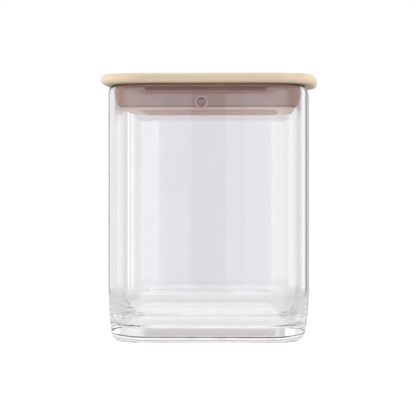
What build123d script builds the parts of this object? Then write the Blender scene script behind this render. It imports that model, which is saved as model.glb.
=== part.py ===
from build123d import *
import os

# A square glass storage jar with a bamboo lid. The lid's board carries a hollow brown plug with a
# silicone sleeve that seals in the jar's mouth. Millimetres, +Z up, front towards -Y, origin at the
# centre of the jar's underside.

# ---- jar ----
JAR_HALF = 50.0
JAR_CORNER = 20.0
SIDE_BOW = 0.6
WALL = 2.6
FLOOR = 7.5
DRAW_TOP = 24.0
DRAW_BOTTOM = 5.4
DRAW_INSET = 1.15
DRAW_SLOPE = 0.13
BASE_ROUND_WIDTH = 6.6
INNER_DRAW_TOP = 27.0
INNER_DRAW_BOTTOM = 15.0
INNER_DRAW_INSET = 0.95
INNER_DRAW_SLOPE = 0.16
FLOOR_ROUND_WIDTH = 13.0
RING_WIDTH = 18.0
SLAB_OVERLAP = 2.0
RIM_Z = 128.4
SHOULDER_Z = 123.4
SHOULDER_PULL = 0.55
RIM_CROWN_INSET = 1.35
RIM_INNER_DROP = 1.2
BASE_DISH_DEPTH = 0.3
BASE_DISH_RADIUS = 28.0

# ---- board ----
BOARD_HALF = 54.3
BOARD_CORNER = 25.0
BOARD_BOW = 1.5
BOARD_THICK = 4.9
BOARD_EDGE_ROUND = 2.35
BOARD_GAP = 0.5

# ---- plug ----
MOUTH_CLEARANCE = 0.35
PLUG_ROUND = 12.0
PLUG_ROUND_TOP = 124.5
SLEEVE_BOTTOM = 117.9
SLEEVE_THICK = 4.6
SLEEVE_GROOVE_DEPTH = 0.7
SLEEVE_GROOVE_HEIGHT = 1.0
SLEEVE_GROOVE_BOTTOM = 126.2
FLANGE_TOP = 117.1
FLANGE_BOTTOM = 115.9
SHELL_WALL = 1.6
TOP_FLANGE_WIDTH = 12.0
FIT_GAP = 0.05

# ---- cover ----
COVER_HALF = 34.6
COVER_CORNER = 9.0
COVER_PROUD = 0.5
COVER_EDGE_ROUND = 0.3
SPIGOT_INSET = 1.6
SPIGOT_HEIGHT = 3.0
SPIGOT_WALL = 1.4

# ---- vent ----
VENT_X = -2.2
VENT_Z = 119.6
BUSH_RADIUS = 3.25
BUSH_BORE = 2.45
BUSH_FRONT = 46.3
BUSH_LENGTH = 6.6
BUSH_LIP_ROUND = 0.35
VALVE_DEPTH = 0.7
VALVE_THICK = 1.4
VALVE_LIP_LENGTH = 3.4
VALVE_LIP_HEIGHT = 0.9
VALVE_LIP_PROUD = 0.5
VALVE_SLIT = 0.2

# ---- screws ----
SCREW_SPACING = 68.0
SCREW_SHANK = 1.4
SCREW_HEAD = 2.8
SCREW_HEAD_HEIGHT = 1.6
SCREW_DEPTH = 3.4
SCREW_SLOT_WIDTH = 0.8
SCREW_SLOT_DEPTH = 0.7

# ---- derived ----
MOUTH_HALF = JAR_HALF - WALL
MOUTH_CORNER = JAR_CORNER - WALL
BOARD_BOTTOM = RIM_Z + BOARD_GAP
SEAL_HALF = MOUTH_HALF - MOUTH_CLEARANCE
SEAL_CORNER = MOUTH_CORNER - MOUTH_CLEARANCE
SHELL_HALF = SEAL_HALF - SLEEVE_THICK
SHELL_CORNER = SEAL_CORNER - SLEEVE_THICK
CORE_HALF = SHELL_HALF - SHELL_WALL
CORE_CORNER = SHELL_CORNER - SHELL_WALL
COVER_BOTTOM = FLANGE_BOTTOM - COVER_PROUD
SPIGOT_HALF = COVER_HALF - SPIGOT_INSET
SPIGOT_CORNER = COVER_CORNER - SPIGOT_INSET
TOP_FLANGE_BOTTOM = BOARD_BOTTOM - SHELL_WALL
SCREW_TIP = BOARD_BOTTOM + SCREW_DEPTH


def bowed_square(half, corner, bow=SIDE_BOW):
    """A square with slightly bowed sides and round corners; half is measured across the flats."""
    square = half - bow
    with BuildSketch(mode=Mode.PRIVATE) as outline:
        with BuildLine():
            ThreePointArc((-square, -square), (0, -half), (square, -square))
            ThreePointArc((square, -square), (half, 0), (square, square))
            ThreePointArc((square, square), (0, half), (-square, square))
            ThreePointArc((-square, square), (-half, 0), (-square, -square))
        make_face()
        fillet(outline.vertices(), corner)
    return outline.sketch


def round_block(half, corner, bottom, top, edge_round):
    """A bowed square block whose lower edge has one large rolling round."""
    with BuildPart() as block:
        with BuildSketch(Plane.XY.offset(bottom)):
            add(bowed_square(half, corner))
        extrude(amount=top - bottom)
        fillet(block.edges().group_by(Axis.Z)[0], edge_round)
    return block.part


def plug_envelope(bottom, top):
    """A slice of the plug's outer form."""
    block_bottom = PLUG_ROUND_TOP - PLUG_ROUND
    block = round_block(SEAL_HALF, SEAL_CORNER, block_bottom, BOARD_BOTTOM, PLUG_ROUND)
    with BuildPart() as envelope:
        add(block)
        split(bisect_by=Plane.XY.offset(bottom), keep=Keep.TOP)
        split(bisect_by=Plane.XY.offset(top), keep=Keep.BOTTOM)
    return envelope.part


def vent_bore(radius):
    """A cylinder along the vent's axis, from in front of the plug's face to inside its hollow."""
    with BuildPart() as bore:
        with BuildSketch(Plane.XZ.offset(JAR_HALF)):
            with Locations((VENT_X, VENT_Z)):
                Circle(radius)
        extrude(amount=CORE_HALF - SHELL_WALL - JAR_HALF)
    return bore.part


# ---- glass jar: one wall section swept round the square, with a floor slab inside it ----
wall_path = bowed_square(JAR_HALF, JAR_CORNER).face().outer_wire()
section_plane = Plane(origin=wall_path @ 0, x_dir=(0, 0, 1), z_dir=wall_path % 0)
UP = (1, 0)
DOWN = (-1, 0)
OUTWARD = (0, 1)
INWARD = (0, -1)

with BuildPart() as glass_jar:
    with BuildSketch(section_plane):
        with BuildLine():
            base_edge = (0, -DRAW_INSET - BASE_ROUND_WIDTH)
            draw_start = (DRAW_BOTTOM, -DRAW_INSET)
            shoulder = (SHOULDER_Z, 0)
            crown = (RIM_Z, -RIM_CROWN_INSET)
            Line((0, -RING_WIDTH), base_edge)
            draw = Spline(draw_start, (DRAW_TOP, 0), tangents=[(1, DRAW_SLOPE), UP])
            Spline(base_edge, draw_start, tangents=[OUTWARD, draw % 0])
            Line((DRAW_TOP, 0), shoulder)
            shoulder_pull = (SHOULDER_Z + SHOULDER_PULL * (RIM_Z - SHOULDER_Z), 0)
            crown_pull = (RIM_Z, (SHOULDER_PULL - 1) * RIM_CROWN_INSET)
            Bezier(shoulder, shoulder_pull, crown_pull, crown)
            mouth_edge = (RIM_Z - RIM_INNER_DROP, -WALL)
            Spline(crown, mouth_edge, tangents=[INWARD, DOWN])
            Line(mouth_edge, (INNER_DRAW_TOP, -WALL))
            inner_draw_end = (INNER_DRAW_BOTTOM, -WALL - INNER_DRAW_INSET)
            inner_tangents = [DOWN, (-1, -INNER_DRAW_SLOPE)]
            inner_draw = Spline((INNER_DRAW_TOP, -WALL), inner_draw_end, tangents=inner_tangents)
            floor_edge = (FLOOR, -WALL - INNER_DRAW_INSET - FLOOR_ROUND_WIDTH)
            Spline(inner_draw_end, floor_edge, tangents=[inner_draw % 1, INWARD])
            Line(floor_edge, (FLOOR, -RING_WIDTH))
            Line((FLOOR, -RING_WIDTH), (0, -RING_WIDTH))
        make_face()
    sweep(path=wall_path)
    with BuildSketch(Plane.XY):
        slab_inset = RING_WIDTH - SLAB_OVERLAP
        add(bowed_square(JAR_HALF - slab_inset, JAR_CORNER - slab_inset))
    extrude(amount=FLOOR)
    dish_radius = (BASE_DISH_RADIUS**2 + BASE_DISH_DEPTH**2) / (2 * BASE_DISH_DEPTH)
    with Locations((0, 0, BASE_DISH_DEPTH - dish_radius)):
        Sphere(dish_radius, mode=Mode.SUBTRACT)

# ---- bamboo board: full-round edge, four blind pilot holes underneath ----
with BuildPart() as lid_board:
    with BuildSketch(Plane.XY.offset(BOARD_BOTTOM)):
        add(bowed_square(BOARD_HALF, BOARD_CORNER, BOARD_BOW))
    extrude(amount=BOARD_THICK)
    rim_edges = lid_board.edges().group_by(Axis.Z)
    fillet(rim_edges[0] + rim_edges[-1], BOARD_EDGE_ROUND)
    with BuildSketch(Plane.XY.offset(BOARD_BOTTOM)):
        with GridLocations(SCREW_SPACING, SCREW_SPACING, 2, 2):
            Circle(SCREW_SHANK + FIT_GAP)
    extrude(amount=SCREW_DEPTH + FIT_GAP, mode=Mode.SUBTRACT)

# ---- silicone sleeve: seals in the mouth, tapers inwards at its lower edge ----
sleeve_envelope = plug_envelope(SLEEVE_BOTTOM, BOARD_BOTTOM - FIT_GAP)
vent_cut = vent_bore(BUSH_RADIUS + FIT_GAP)

with BuildPart() as seal_sleeve:
    add(sleeve_envelope)
    with BuildSketch(Plane.XY.offset(SLEEVE_BOTTOM)):
        add(bowed_square(SHELL_HALF + FIT_GAP, SHELL_CORNER + FIT_GAP))
    extrude(amount=BOARD_BOTTOM - SLEEVE_BOTTOM, mode=Mode.SUBTRACT)
    with BuildSketch(Plane.XY.offset(SLEEVE_GROOVE_BOTTOM)):
        add(bowed_square(JAR_HALF, JAR_CORNER))
        groove_inset = MOUTH_CLEARANCE + SLEEVE_GROOVE_DEPTH
        add(bowed_square(MOUTH_HALF - groove_inset, MOUTH_CORNER - groove_inset), mode=Mode.SUBTRACT)
    extrude(amount=SLEEVE_GROOVE_HEIGHT, mode=Mode.SUBTRACT)
    add(vent_cut, mode=Mode.SUBTRACT)

# ---- plug shell: wall behind the sleeve, inner top flange, rounded bottom flange ----
flange_envelope = plug_envelope(FLANGE_BOTTOM, FLANGE_TOP)

with BuildPart() as plug_shell:
    add(flange_envelope)
    with BuildSketch(Plane.XY.offset(FLANGE_TOP)):
        add(bowed_square(SHELL_HALF, SHELL_CORNER))
    extrude(amount=BOARD_BOTTOM - FLANGE_TOP)
    with BuildSketch(Plane.XY.offset(FLANGE_TOP)):
        add(bowed_square(CORE_HALF, CORE_CORNER))
    extrude(amount=TOP_FLANGE_BOTTOM - FLANGE_TOP, mode=Mode.SUBTRACT)
    with BuildSketch(Plane.XY.offset(TOP_FLANGE_BOTTOM)):
        add(bowed_square(CORE_HALF - TOP_FLANGE_WIDTH, COVER_CORNER))
    extrude(amount=SHELL_WALL, mode=Mode.SUBTRACT)
    with BuildSketch(Plane.XY.offset(FLANGE_BOTTOM)):
        add(bowed_square(SPIGOT_HALF + FIT_GAP, SPIGOT_CORNER + FIT_GAP))
    extrude(amount=FLANGE_TOP - FLANGE_BOTTOM, mode=Mode.SUBTRACT)
    with BuildSketch(Plane.XY.offset(TOP_FLANGE_BOTTOM)):
        with GridLocations(SCREW_SPACING, SCREW_SPACING, 2, 2):
            Circle(SCREW_SHANK + FIT_GAP)
    extrude(amount=SHELL_WALL, mode=Mode.SUBTRACT)
    add(vent_cut, mode=Mode.SUBTRACT)

# ---- plug cover: raised plate with a spigot that presses into the shell's bottom opening ----
with BuildPart() as plug_cover:
    with BuildSketch(Plane.XY.offset(COVER_BOTTOM)):
        add(bowed_square(COVER_HALF, COVER_CORNER))
    extrude(amount=COVER_PROUD)
    fillet(plug_cover.edges().group_by(Axis.Z)[0], COVER_EDGE_ROUND)
    with BuildSketch(Plane.XY.offset(FLANGE_BOTTOM)):
        add(bowed_square(SPIGOT_HALF, SPIGOT_CORNER))
        spigot_inner = SPIGOT_HALF - SPIGOT_WALL
        add(bowed_square(spigot_inner, SPIGOT_CORNER - SPIGOT_WALL), mode=Mode.SUBTRACT)
    extrude(amount=SPIGOT_HEIGHT)

# ---- vent bush: soft ring through the sleeve and the shell's front wall ----
with BuildPart() as vent_bush:
    with BuildSketch(Plane.XZ.offset(BUSH_FRONT)):
        with Locations((VENT_X, VENT_Z)):
            Circle(BUSH_RADIUS)
            Circle(BUSH_BORE, mode=Mode.SUBTRACT)
    extrude(amount=-BUSH_LENGTH)
    fillet(vent_bush.edges().group_by(Axis.Y)[0], BUSH_LIP_ROUND)

# ---- vent valve: a disc with two slit lips, held in the bush ----
with BuildPart() as vent_valve:
    with BuildSketch(Plane.XZ.offset(BUSH_FRONT - VALVE_DEPTH)):
        with Locations((VENT_X, VENT_Z)):
            Circle(BUSH_BORE - FIT_GAP)
    extrude(amount=-VALVE_THICK)
    with BuildSketch(Plane.XZ.offset(BUSH_FRONT - VALVE_DEPTH)):
        with Locations((VENT_X, VENT_Z)):
            SlotOverall(VALVE_LIP_LENGTH, VALVE_LIP_HEIGHT)
    extrude(amount=VALVE_LIP_PROUD)
    with BuildSketch(Plane.XZ.offset(BUSH_FRONT)):
        with Locations((VENT_X, VENT_Z)):
            SlotOverall(VALVE_LIP_LENGTH - VALVE_LIP_HEIGHT, VALVE_SLIT)
    extrude(amount=-BUSH_LENGTH, mode=Mode.SUBTRACT)

# ---- screws: four short wood screws from inside the shell up into the board ----
with BuildPart() as plug_screws:
    head_bottom = TOP_FLANGE_BOTTOM - SCREW_HEAD_HEIGHT
    with BuildSketch(Plane.XY.offset(head_bottom)):
        with GridLocations(SCREW_SPACING, SCREW_SPACING, 2, 2):
            Circle(SCREW_HEAD)
    extrude(amount=SCREW_HEAD_HEIGHT)
    fillet(plug_screws.edges().group_by(Axis.Z)[0], SCREW_HEAD_HEIGHT / 2)
    with BuildSketch(Plane.XY.offset(TOP_FLANGE_BOTTOM)):
        with GridLocations(SCREW_SPACING, SCREW_SPACING, 2, 2):
            Circle(SCREW_SHANK)
    extrude(amount=SCREW_TIP - TOP_FLANGE_BOTTOM)
    with BuildSketch(Plane.XY.offset(head_bottom)):
        with GridLocations(SCREW_SPACING, SCREW_SPACING, 2, 2):
            Rectangle(SCREW_HEAD * 2, SCREW_SLOT_WIDTH)
            Rectangle(SCREW_SLOT_WIDTH, SCREW_HEAD * 2)
    extrude(amount=SCREW_SLOT_DEPTH, mode=Mode.SUBTRACT)

pieces = {
    "glass_jar": glass_jar,
    "lid_board": lid_board,
    "seal_sleeve": seal_sleeve,
    "plug_shell": plug_shell,
    "plug_cover": plug_cover,
    "vent_bush": vent_bush,
    "vent_valve": vent_valve,
    "plug_screws": plug_screws,
}

os.makedirs("parts", exist_ok=True)
for name, piece in pieces.items():
    piece.part.label = name
    export_step(piece.part, f"parts/{name}.step")
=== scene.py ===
import math

import bpy
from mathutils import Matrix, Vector


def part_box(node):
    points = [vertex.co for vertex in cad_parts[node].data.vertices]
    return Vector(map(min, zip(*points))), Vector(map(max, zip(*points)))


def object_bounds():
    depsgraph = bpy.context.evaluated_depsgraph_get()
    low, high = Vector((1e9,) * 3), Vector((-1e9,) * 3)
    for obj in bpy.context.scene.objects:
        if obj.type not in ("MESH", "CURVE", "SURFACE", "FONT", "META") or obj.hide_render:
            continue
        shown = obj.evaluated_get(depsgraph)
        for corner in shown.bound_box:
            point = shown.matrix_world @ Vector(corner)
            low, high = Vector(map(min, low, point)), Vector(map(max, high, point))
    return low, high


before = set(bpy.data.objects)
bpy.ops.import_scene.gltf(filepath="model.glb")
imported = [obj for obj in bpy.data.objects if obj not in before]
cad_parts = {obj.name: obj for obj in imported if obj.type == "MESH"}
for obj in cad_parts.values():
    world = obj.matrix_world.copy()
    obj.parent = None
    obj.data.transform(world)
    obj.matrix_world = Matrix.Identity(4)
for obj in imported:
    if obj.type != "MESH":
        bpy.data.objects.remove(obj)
cad_low, cad_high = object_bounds()
scene = bpy.context.scene

# ---- node helpers ----


class Graph:
    """A short way to write one material's nodes."""

    def __init__(self, name, world=False):
        self.material = (bpy.data.worlds if world else bpy.data.materials).new(name)
        self.material.use_nodes = True
        self.tree = self.material.node_tree
        self.tree.nodes.clear()
        kind = "ShaderNodeOutputWorld" if world else "ShaderNodeOutputMaterial"
        self.output = self.tree.nodes.new(kind)

    def node(self, kind, settings=None, **inputs):
        made = self.tree.nodes.new(kind)
        for key, value in (settings or {}).items():
            setattr(made, key, value)
        for key, value in inputs.items():
            self.put(made, key.replace("_", " "), value)
        return made

    def put(self, node, key, value):
        socket = node.inputs[int(key)] if key.isdigit() else node.inputs[key]
        if isinstance(value, bpy.types.NodeSocket):
            self.tree.links.new(value, socket)
        else:
            socket.default_value = value

    def math(self, operation, a, b=0.0, c=0.0, clamp=False):
        made = self.tree.nodes.new("ShaderNodeMath")
        made.operation = operation
        made.use_clamp = clamp
        for index, value in enumerate((a, b, c)):
            self.put(made, str(index), value)
        return made.outputs[0]

    def scaled_place(self, scale=(1.0, 1.0, 1.0)):
        place = self.node("ShaderNodeTexCoord").outputs["Object"]
        return self.node("ShaderNodeMapping", Vector=place, Scale=scale).outputs[0]

    def axes(self, vector):
        """The three parts of a vector, each on its own socket."""
        return self.node("ShaderNodeSeparateXYZ", Vector=vector).outputs

    def noise(self, place, scale, detail=3.0, roughness=0.5, distortion=0.0):
        return self.node(
            "ShaderNodeTexNoise",
            Vector=place,
            Scale=scale,
            Detail=detail,
            Roughness=roughness,
            Distortion=distortion,
        ).outputs[0]

    def ramp(self, factor, stops):
        made = self.node("ShaderNodeValToRGB", Fac=factor)
        elements = made.color_ramp.elements
        while len(elements) < len(stops):
            elements.new(0.5)
        for element, (position, colour) in zip(elements, stops):
            element.position = position
            element.color = (*colour, 1.0)
        return made.outputs[0]

    def mix_colour(self, factor, a, b, blend="MIX"):
        made = self.tree.nodes.new("ShaderNodeMix")
        made.data_type = "RGBA"
        made.blend_type = blend
        for key, value in ((0, factor), (6, a), (7, b)):
            self.put(made, str(key), value)
        return made.outputs[2]

    def mix_shader(self, factor, a, b):
        """Shader a where factor is 0 and shader b where it is 1."""
        mixed = self.node("ShaderNodeMixShader")
        self.put(mixed, "0", factor)
        self.put(mixed, "1", a.outputs[0])
        self.put(mixed, "2", b.outputs[0])
        return mixed

    def step(self, value, low, high):
        """A smooth step from 0 at low to 1 at high."""
        made = self.tree.nodes.new("ShaderNodeMapRange")
        made.interpolation_type = "SMOOTHSTEP"
        made.clamp = True
        self.put(made, "Value", value)
        self.put(made, "From Min", low)
        self.put(made, "From Max", high)
        return made.outputs[0]

    def inside(self, value, low, high, soft):
        """1 between low and high, 0 outside, each edge blurred by soft to both sides."""
        rise = self.step(value, low - soft, low + soft)
        fall = self.step(value, high - soft, high + soft)
        return self.math("SUBTRACT", rise, fall)

    def levels(self, factor, stops):
        """A grey ramp with straight runs between its stops."""
        return self.ramp(factor, [(place, (level, level, level)) for place, level in stops])

    def bump(self, height, strength, distance):
        return self.node(
            "ShaderNodeBump", Height=height, Strength=strength, Distance=distance
        ).outputs[0]

    def surface(self, shader):
        self.tree.links.new(shader.outputs[0], self.output.inputs["Surface"])


def dress(node_name, material):
    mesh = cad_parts[node_name].data
    mesh.materials.clear()
    mesh.materials.append(material)


# ---- glass ----

GLASS_TINTS = [(0.3, (0.965, 0.968, 0.975)), (0.7, (0.98, 0.98, 0.985))]
CLOUD_STRETCH = (1.0, 1.0, 0.25)
CLOUD_SCALE = 60.0
GLASS_IOR = 1.5
LIGHT_PASSED = (0.93, 0.93, 0.93, 1.0)


def clear_glass():
    """Clear pressed glass with a faint uneven tint; light passes it for shadows."""
    g = Graph("clear_glass")
    clouds = g.noise(g.scaled_place(CLOUD_STRETCH), CLOUD_SCALE, detail=2.0)
    glass = g.node("ShaderNodeBsdfPrincipled")
    g.put(glass, "Base Color", g.ramp(clouds, GLASS_TINTS))
    g.put(glass, "Roughness", 0.0)
    g.put(glass, "IOR", GLASS_IOR)
    g.put(glass, "Transmission Weight", 1.0)
    path = g.node("ShaderNodeLightPath").outputs
    lets_light = g.math("MAXIMUM", path["Is Shadow Ray"], path["Is Diffuse Ray"])
    clear = g.node("ShaderNodeBsdfTransparent")
    g.put(clear, "Color", LIGHT_PASSED)
    g.surface(g.mix_shader(lets_light, glass, clear))
    return g.material


# ---- plastic and silicone ----

TINT_SPREAD = 0.07
FLOW_STRETCH = (1.0, 1.0, 3.0)
FLOW_SCALE = 35.0
FLOW_STOPS = (0.3, 0.7)
GRAIN_ROUGHNESS = 0.16
FLOW_ROUGHNESS = 0.08
GRAIN_RELIEF = 0.35
SCATTER_RADIUS = (1.0, 0.55, 0.4)
SCATTER_SCALE = 0.002
BORDER_BLUR = 0.0001


def moulded(name, colour, roughness, shine, grain_size, grain_depth, subsurface, painted_shade_above=None):
    """Moulded plastic or silicone: a fine matt grain, faint flow marks and a little depth.

    The optional last argument is a (height in metres, colour) pair: painted shade, that colour
    from that height upward.
    """
    g = Graph(name)
    place = g.scaled_place()
    grain = g.noise(place, 1.0 / grain_size, detail=4.0, roughness=0.6)
    flow = g.noise(g.scaled_place(FLOW_STRETCH), FLOW_SCALE, roughness=0.55, distortion=0.6)
    dark = tuple(c * (1.0 - TINT_SPREAD) for c in colour)
    light = tuple(min(1.0, c * (1.0 + TINT_SPREAD)) for c in colour)
    tint = g.ramp(flow, list(zip(FLOW_STOPS, (dark, light))))
    # Painted shade: from the given height upward the tint turns to the given darker colour.
    if painted_shade_above:
        border, painted_shade_colour = painted_shade_above
        over = g.step(g.axes(place)[2], border - BORDER_BLUR, border)
        tint = g.mix_colour(over, tint, (*painted_shade_colour, 1.0))
    shader = g.node("ShaderNodeBsdfPrincipled")
    g.put(shader, "Base Color", tint)
    grainy = g.math("MULTIPLY_ADD", grain, GRAIN_ROUGHNESS, roughness - GRAIN_ROUGHNESS / 2)
    centred = g.math("SUBTRACT", grainy, FLOW_ROUGHNESS / 2)
    g.put(shader, "Roughness", g.math("MULTIPLY_ADD", flow, FLOW_ROUGHNESS, centred))
    g.put(shader, "Specular IOR Level", shine)
    g.put(shader, "Normal", g.bump(grain, GRAIN_RELIEF, grain_depth))
    g.put(shader, "Subsurface Weight", subsurface)
    g.put(shader, "Subsurface Radius", SCATTER_RADIUS)
    g.put(shader, "Subsurface Scale", SCATTER_SCALE)
    g.surface(shader)
    return g.material


# ---- vent valve ----

# The slit's lip gets a painted highlight, and the disc over the slit gets painted shade.
LIP_UP = 0.0004
LIP_HALF = (0.0017, 0.0005)
LIP_EDGE = (1.4, 0.6)
LIP_HIGHLIGHT_COLOUR = (0.25, 0.12, 0.10, 1.0)
SHADE_FROM = 0.0009
SHADE_TO = 0.0014
SHADE_COLOUR = (0.075, 0.012, 0.006, 1.0)
DISC_TINTS = [(0.3, (0.135, 0.034, 0.014)), (0.7, (0.165, 0.042, 0.018))]


def slit_disc():
    """Soft valve disc: dark red silicone, with a painted highlight on the lip of its slit and
    painted shade higher up.
    """
    g = Graph("dark_silicone")
    low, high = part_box("vent_valve")
    middle = (low + high) / 2
    place = g.scaled_place()
    x, _, z = g.axes(place)
    across = g.math("DIVIDE", g.math("SUBTRACT", x, middle.x), LIP_HALF[0])
    rise = g.math("SUBTRACT", z, middle.z)
    along = g.math("DIVIDE", g.math("SUBTRACT", rise, LIP_UP), LIP_HALF[1])
    reach = g.math("ADD", g.math("MULTIPLY", across, across), g.math("MULTIPLY", along, along))
    lip = g.step(reach, *LIP_EDGE)
    shade = g.step(rise, SHADE_FROM, SHADE_TO)
    grain = g.noise(place, 2500.0)
    # Painted highlight on the lip, then painted shade higher up.
    lip_highlighted = g.mix_colour(lip, g.ramp(grain, DISC_TINTS), LIP_HIGHLIGHT_COLOUR)
    shader = g.node("ShaderNodeBsdfPrincipled")
    g.put(shader, "Base Color", g.mix_colour(shade, lip_highlighted, SHADE_COLOUR))
    g.put(shader, "Roughness", g.math("MULTIPLY_ADD", grain, 0.2, 0.4))
    g.put(shader, "Specular IOR Level", 0.05)
    g.put(shader, "Normal", g.bump(grain, 0.3, 0.00003))
    g.surface(shader)
    return g.material


# ---- wood ----

STRIP_WIDTH = 0.0181
STRIP_SHIFT = 20.37
STRIP_OFFSET = 3.7
SEAM_SHARE = 0.012
NODE_SPACING = 0.19
NODE_BAND = (0.47, 0.485, 0.006)
FIBRE_STRETCH = (14.0, 620.0, 620.0)
STREAK_STRETCH = (5.0, 170.0, 260.0)
WOOD_TINTS = [
    (0.30, (0.458, 0.360, 0.246)),
    (0.52, (0.530, 0.428, 0.306)),
    (0.72, (0.585, 0.482, 0.352)),
]
STRIP_COLOUR = (0.50, 0.385, 0.25, 1.0)
STRIP_SHARE = 0.16
MARK_COLOUR = (0.30, 0.20, 0.11, 1.0)
SEAM_STRENGTH = 0.35
JOINT_STRENGTH = 0.3


def bamboo():
    """Flat-laid bamboo strips along X: each its own tone, long fibres, seams and a few joints."""
    g = Graph("bamboo")
    x, y, z = g.axes(g.scaled_place())
    across = g.math("ADD", g.math("DIVIDE", y, STRIP_WIDTH), STRIP_SHIFT)
    strip = g.math("FLOOR", across)
    tone = g.node("ShaderNodeTexWhiteNoise", {"noise_dimensions": "1D"}, W=strip).outputs["Value"]
    shifted = g.math("MULTIPLY_ADD", tone, STRIP_OFFSET, x)

    def stretched(stretch):
        scaled = [g.math("MULTIPLY", part, s) for part, s in zip((shifted, y, z), stretch)]
        return g.node("ShaderNodeCombineXYZ", X=scaled[0], Y=scaled[1], Z=scaled[2]).outputs[0]

    fibre = g.noise(stretched(FIBRE_STRETCH), 1.0, detail=4.0, roughness=0.62, distortion=0.25)
    streak = g.noise(stretched(STREAK_STRETCH), 1.0)
    grain = g.math("MULTIPLY_ADD", streak, 0.6, g.math("MULTIPLY", fibre, 0.4))
    base = g.ramp(grain, WOOD_TINTS)
    toned = g.mix_colour(g.math("MULTIPLY", tone, STRIP_SHARE), base, STRIP_COLOUR)
    off_middle = g.math("ABSOLUTE", g.math("SUBTRACT", g.math("FRACT", across), 0.5))
    seam = g.math("MULTIPLY", g.step(off_middle, 0.5 - SEAM_SHARE, 0.5), SEAM_STRENGTH)
    joint_place = g.math("FRACT", g.math("DIVIDE", shifted, NODE_SPACING))
    joint = g.math("MULTIPLY", g.inside(joint_place, *NODE_BAND), JOINT_STRENGTH)
    marks = g.math("MAXIMUM", seam, joint)
    shader = g.node("ShaderNodeBsdfPrincipled")
    g.put(shader, "Base Color", g.mix_colour(marks, toned, MARK_COLOUR))
    g.put(shader, "Roughness", g.math("MULTIPLY_ADD", fibre, 0.22, 0.36))
    relief = g.math("SUBTRACT", fibre, g.math("MULTIPLY", marks, 1.5))
    g.put(shader, "Normal", g.bump(relief, 0.3, 0.00012))
    g.surface(shader)
    return g.material


# ---- metal ----

STEEL_COLOUR = (0.62, 0.61, 0.59, 1.0)
SCRATCH_STRETCH = (1.0, 1.0, 0.2)


def steel():
    g = Graph("steel")
    scratches = g.noise(g.scaled_place(SCRATCH_STRETCH), 2500.0, detail=2.0)
    shader = g.node("ShaderNodeBsdfPrincipled")
    g.put(shader, "Base Color", STEEL_COLOUR)
    g.put(shader, "Metallic", 1.0)
    g.put(shader, "Roughness", g.math("MULTIPLY_ADD", scratches, 0.25, 0.2))
    g.put(shader, "Normal", g.bump(scratches, 0.2, 0.00005))
    g.surface(shader)
    return g.material


# ---- the parts' materials ----

BROWN = (0.205, 0.104, 0.082)
PALE_BROWN = (0.46, 0.28, 0.235)
# Painted shade on the plug shell from just under the sleeve upward, for the dark groove under the
# sleeve and the shell higher up.
PAINTED_SHADE_BROWN = (0.26, 0.075, 0.035)
COVER_BROWN = (0.38, 0.19, 0.135)
BUSH_BROWN = (0.36, 0.22, 0.20)
# How far under the sleeve the painted shade on the plug shell begins.
RING_GAP = 0.0008


def dress_parts():
    # ring_top: where the painted shade on the plug shell begins, just under the sleeve.
    ring_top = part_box("seal_sleeve")[0].z - RING_GAP
    dress("glass_jar", clear_glass())
    dress("lid_board", bamboo())
    dress(
        "plug_shell",
        moulded(
            "pale_brown_plastic",
            PALE_BROWN,
            roughness=0.35,
            shine=0.4,
            grain_size=0.0004,
            grain_depth=0.00004,
            subsurface=0.1,
            painted_shade_above=(ring_top, PAINTED_SHADE_BROWN),
        ),
    )
    dress(
        "plug_cover",
        moulded(
            "brown_plastic",
            COVER_BROWN,
            roughness=0.6,
            shine=0.1,
            grain_size=0.0004,
            grain_depth=0.00004,
            subsurface=0.05,
        ),
    )
    dress(
        "seal_sleeve",
        moulded(
            "brown_silicone",
            BROWN,
            roughness=0.5,
            shine=0.1,
            grain_size=0.0006,
            grain_depth=0.00005,
            subsurface=0.1,
        ),
    )
    dress(
        "vent_bush",
        moulded(
            "pale_silicone",
            BUSH_BROWN,
            roughness=0.45,
            shine=0.2,
            grain_size=0.0004,
            grain_depth=0.00003,
            subsurface=0.2,
        ),
    )
    dress("vent_valve", slit_disc())
    dress("plug_screws", steel())


# ---- floor ----

WHITE = (1.0, 1.0, 1.0, 1.0)
FLOOR_RADIUS = 1.2
FLOOR_STEPS = 96
FLOOR_DROP = 0.0002
FLOOR_COLOUR = (0.95, 0.95, 0.95, 1.0)
FADE_FROM = 0.25
FADE_WIDTH = 0.5
FLOOR_LIFT = 0.25
NEAR_GLOW = 0.72
FAR_GLOW = 0.66
NEAR_EDGE = (0.22, 0.06)

# A bright card lies in front of the jar; only reflections in the glass show it.
CARD_GLOW = 3.0
CARD_ACROSS = (-0.09, 0.09, 0.01)
CARD_ALONG = (-0.29, -0.07, 0.02)


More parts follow.
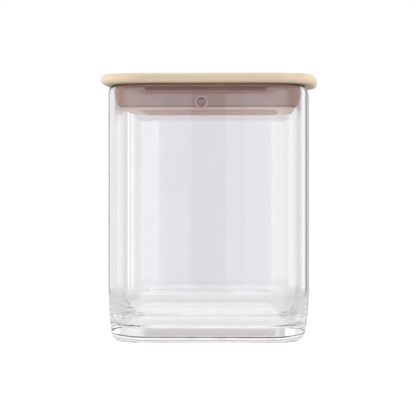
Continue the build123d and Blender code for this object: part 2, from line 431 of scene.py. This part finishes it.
def floor_material():
    g = Graph("floor_white")
    place = g.node("ShaderNodeTexCoord").outputs["Object"]
    far = g.node("ShaderNodeVectorMath", {"operation": "LENGTH"}, Vector=place).outputs["Value"]
    fade = g.math("DIVIDE", g.math("SUBTRACT", far, FADE_FROM), FADE_WIDTH, clamp=True)
    path = g.node("ShaderNodeLightPath").outputs
    lit = g.node("ShaderNodeBsdfDiffuse")
    g.put(lit, "Color", FLOOR_COLOUR)
    lift = g.node("ShaderNodeEmission", Color=WHITE, Strength=FLOOR_LIFT)
    shown = g.node("ShaderNodeAddShader")
    g.put(shown, "0", lit.outputs[0])
    g.put(shown, "1", lift.outputs[0])
    nearness = g.step(far, *NEAR_EDGE)
    plain = g.math("MULTIPLY_ADD", nearness, NEAR_GLOW - FAR_GLOW, FAR_GLOW)
    across, along, _ = g.axes(place)
    card = g.math("MULTIPLY", g.inside(across, *CARD_ACROSS), g.inside(along, *CARD_ALONG))
    reflected = g.math("GREATER_THAN", path["Glossy Depth"], 0.5)
    undiffused = g.math("SUBTRACT", 1.0, path["Is Diffuse Ray"])
    card_seen = g.math("MULTIPLY", card, g.math("MULTIPLY", reflected, undiffused))
    extra = g.math("MULTIPLY", card_seen, g.math("SUBTRACT", CARD_GLOW, plain))
    glow = g.node("ShaderNodeEmission", Color=WHITE, Strength=g.math("ADD", plain, extra))
    seen = g.mix_shader(path["Is Camera Ray"], glow, shown)
    g.surface(g.mix_shader(fade, seen, g.node("ShaderNodeBsdfTransparent")))
    return g.material


def make_floor():
    turns = [2 * math.pi * i / FLOOR_STEPS for i in range(FLOOR_STEPS)]
    points = [
        (FLOOR_RADIUS * math.cos(turn), FLOOR_RADIUS * math.sin(turn), cad_low.z - FLOOR_DROP)
        for turn in turns
    ]
    mesh = bpy.data.meshes.new("floor")
    mesh.from_pydata(points, [], [list(range(FLOOR_STEPS))])
    floor = bpy.data.objects.new("floor", mesh)
    scene.collection.objects.link(floor)
    mesh.materials.append(floor_material())


# ---- camera values ----

CAMERA_DISTANCE = 1.4
CAMERA_TURN = math.radians(3.0)
CAMERA_HEIGHT = 0.071
CAMERA_LENS = 236.62
SENSOR_WIDTH = 36.0
SHIFT_X = -0.00683
SHIFT_Y = -0.01923

# ---- studio round the object ----

# Each list holds (degrees, radiance). Colours in the world nodes are shares of TOP_RADIANCE.
TOP_RADIANCE = 5.0

# The panels behind the camera, in degrees from the direction that the front glass mirrors.
NOTCH_SPAN = 6.0
NOTCH = [
    (-5.0, 4.6),
    (-3.9, 4.6),
    (-3.75, 3.7),
    (-3.08, 3.4),
    (-3.0, 2.85),
    (-1.95, 2.75),
    (-1.89, 2.45),
    (-0.82, 2.4),
    (-0.78, 1.85),
    (0.86, 1.85),
    (0.9, 2.45),
    (1.68, 2.45),
    (1.74, 2.8),
    (2.46, 2.8),
    (2.52, 3.1),
    (4.0, 3.5),
    (5.0, 3.5),
]
NOTCH_TURN = (-5.2, 5.2, 0.4)
NOTCH_HEIGHT = (-3.8, 3.2, 0.4)
NOTCH_COLOUR = (0.97, 1.0, 1.08, 1.0)

# Round the horizon and, in BEYOND, over and under it.
ROUND = [
    (0.0, 3.1),
    (55.0, 2.7),
    (80.0, 1.3),
    (120.0, 0.8),
    (145.0, 0.85),
    (151.0, 1.15),
    (157.0, 1.15),
    (164.0, 0.8),
    (180.0, 0.9),
]
BEYOND = [(0.0, 0.3), (7.0, 0.3), (13.0, 0.8), (90.0, 1.0), (180.0, 1.0)]
ROUND_HEIGHT = (-12.0, 6.5, 1.5)
BOX_TURN = (24.0, 72.0, 2.0)
BOX_HEIGHT = (-12.0, 15.0, 2.0)

# The grey backdrop behind the object, with a fainter wing at its left.
BACKDROP = 0.58
BACKDROP_COLOUR = (1.02, 0.975, 0.995)
BACKDROP_TURN = (-6.5, 6.5, 2.0)
BACKDROP_HEIGHT = (-8.0, 8.0, 1.2)
WING_TURN = (-14.5, -9.5, 1.0)
WING_SHARE = 0.8

# Most radiance seen straight through the glass, so the jar stays visible from every side.
THROUGH_AHEAD = 0.62
THROUGH_BEHIND = 1.2
THROUGH_TURN = (115.0, 145.0)


def in_degrees(g, radians):
    return g.math("MULTIPLY", radians, 180 / math.pi)


def make_world():
    g = Graph("studio", world=True)
    scene.world = g.material
    path = g.node("ShaderNodeLightPath").outputs
    x, y, z = g.axes(g.node("ShaderNodeTexCoord").outputs["Generated"])
    turn = in_degrees(g, g.math("ARCTAN2", x, g.math("MULTIPLY", y, -1.0)))
    degrees = g.math("ADD", turn, math.degrees(CAMERA_TURN))
    away = in_degrees(g, g.math("ARCTAN2", x, y))
    off_axis = g.math("ADD", away, math.degrees(CAMERA_TURN))
    height = in_degrees(g, g.math("ARCSINE", z))
    apart = g.math("ABSOLUTE", degrees)

    half_turn = g.math("DIVIDE", apart, 180.0, clamp=True)
    bright = g.levels(half_turn, [(d / 180, v / TOP_RADIANCE) for d, v in ROUND])
    dim = g.levels(half_turn, [(d / 180, v / TOP_RADIANCE) for d, v in BEYOND])
    width = 2 * NOTCH_SPAN
    place = g.math("DIVIDE", g.math("ADD", degrees, NOTCH_SPAN), width, clamp=True)
    stops = [((d + NOTCH_SPAN) / width, v / TOP_RADIANCE) for d, v in NOTCH]
    tinted = g.mix_colour(1.0, g.levels(place, stops), NOTCH_COLOUR, "MULTIPLY")
    in_notch = g.inside(degrees, *NOTCH_TURN)
    band = g.mix_colour(in_notch, bright, tinted)

    notch_part = g.math("MULTIPLY", g.inside(height, *NOTCH_HEIGHT), in_notch)
    outside = g.math("SUBTRACT", 1.0, in_notch)
    round_part = g.math("MULTIPLY", g.inside(height, *ROUND_HEIGHT), outside)
    box_part = g.math("MULTIPLY", g.inside(apart, *BOX_TURN), g.inside(height, *BOX_HEIGHT))
    reach = g.math("MAXIMUM", g.math("ADD", notch_part, round_part), box_part)
    surround = g.mix_colour(reach, dim, band)

    wing = g.math("MULTIPLY", g.inside(off_axis, *WING_TURN), WING_SHARE)
    backdrop_turn = g.math("MAXIMUM", g.inside(off_axis, *BACKDROP_TURN), wing)
    patch = g.math("MULTIPLY", backdrop_turn, g.inside(height, *BACKDROP_HEIGHT))
    backdrop = tuple(c * BACKDROP / TOP_RADIANCE for c in BACKDROP_COLOUR)
    with_backdrop = g.mix_colour(patch, surround, (*backdrop, 1.0))

    unmirrored = g.math("LESS_THAN", path["Glossy Depth"], 0.5)
    through = g.math("MULTIPLY", path["Is Transmission Ray"], unmirrored)
    behind = g.step(apart, *THROUGH_TURN)
    limit = g.math("MULTIPLY_ADD", behind, THROUGH_BEHIND - THROUGH_AHEAD, THROUGH_AHEAD)
    share = g.math("DIVIDE", limit, TOP_RADIANCE)
    limited = g.mix_colour(through, with_backdrop, share, "DARKEN")

    lit = g.node("ShaderNodeBackground", Color=limited, Strength=TOP_RADIANCE)
    seen = g.node("ShaderNodeBackground", Color=WHITE, Strength=1.0)
    g.surface(g.mix_shader(path["Is Camera Ray"], lit, seen))


# ---- lamps ----

AREA_WATTS = math.pi


def softbox(name, place, target, width, radiance, sharp=True):
    """A square area lamp; one that is not sharp lights only matt surfaces."""
    data = bpy.data.lights.new(name, "AREA")
    data.shape = "RECTANGLE"
    data.size = width
    data.size_y = width
    data.energy = radiance * width * width * AREA_WATTS
    lamp = bpy.data.objects.new(name, data)
    lamp.location = place
    lamp.rotation_euler = (Vector(target) - Vector(place)).to_track_quat("-Z", "Y").to_euler()
    lamp.visible_camera = False
    lamp.visible_glossy = sharp
    lamp.visible_transmission = sharp
    scene.collection.objects.link(lamp)


def make_lamps():
    softbox("softbox_top", (0.0, 0.1, 1.3), (0.0, 0.0, 0.1), width=1.2, radiance=1.1)
    for side, left_or_right, radiance in (("left", -1, 7.5), ("right", 1, 6.0)):
        place = (0.9 * left_or_right, 0.08, 0.2)
        softbox(f"softbox_{side}", place, (0.0, 0.0, 0.12), 0.5, radiance, sharp=False)


# ---- camera ----


def make_camera():
    data = bpy.data.cameras.new("camera")
    data.sensor_width = SENSOR_WIDTH
    data.lens = CAMERA_LENS
    data.shift_x = SHIFT_X
    data.shift_y = SHIFT_Y
    camera = bpy.data.objects.new("camera", data)
    camera.location = (
        CAMERA_DISTANCE * math.sin(CAMERA_TURN),
        -CAMERA_DISTANCE * math.cos(CAMERA_TURN),
        CAMERA_HEIGHT,
    )
    camera.rotation_euler = (math.pi / 2, 0.0, CAMERA_TURN)
    scene.collection.objects.link(camera)
    scene.camera = camera


scene.view_settings.view_transform = "Standard"
scene.cycles.max_bounces = 32
scene.cycles.transmission_bounces = 32
scene.cycles.glossy_bounces = 16
scene.cycles.transparent_max_bounces = 24

dress_parts()
make_floor()
make_world()
make_camera()
make_lamps()
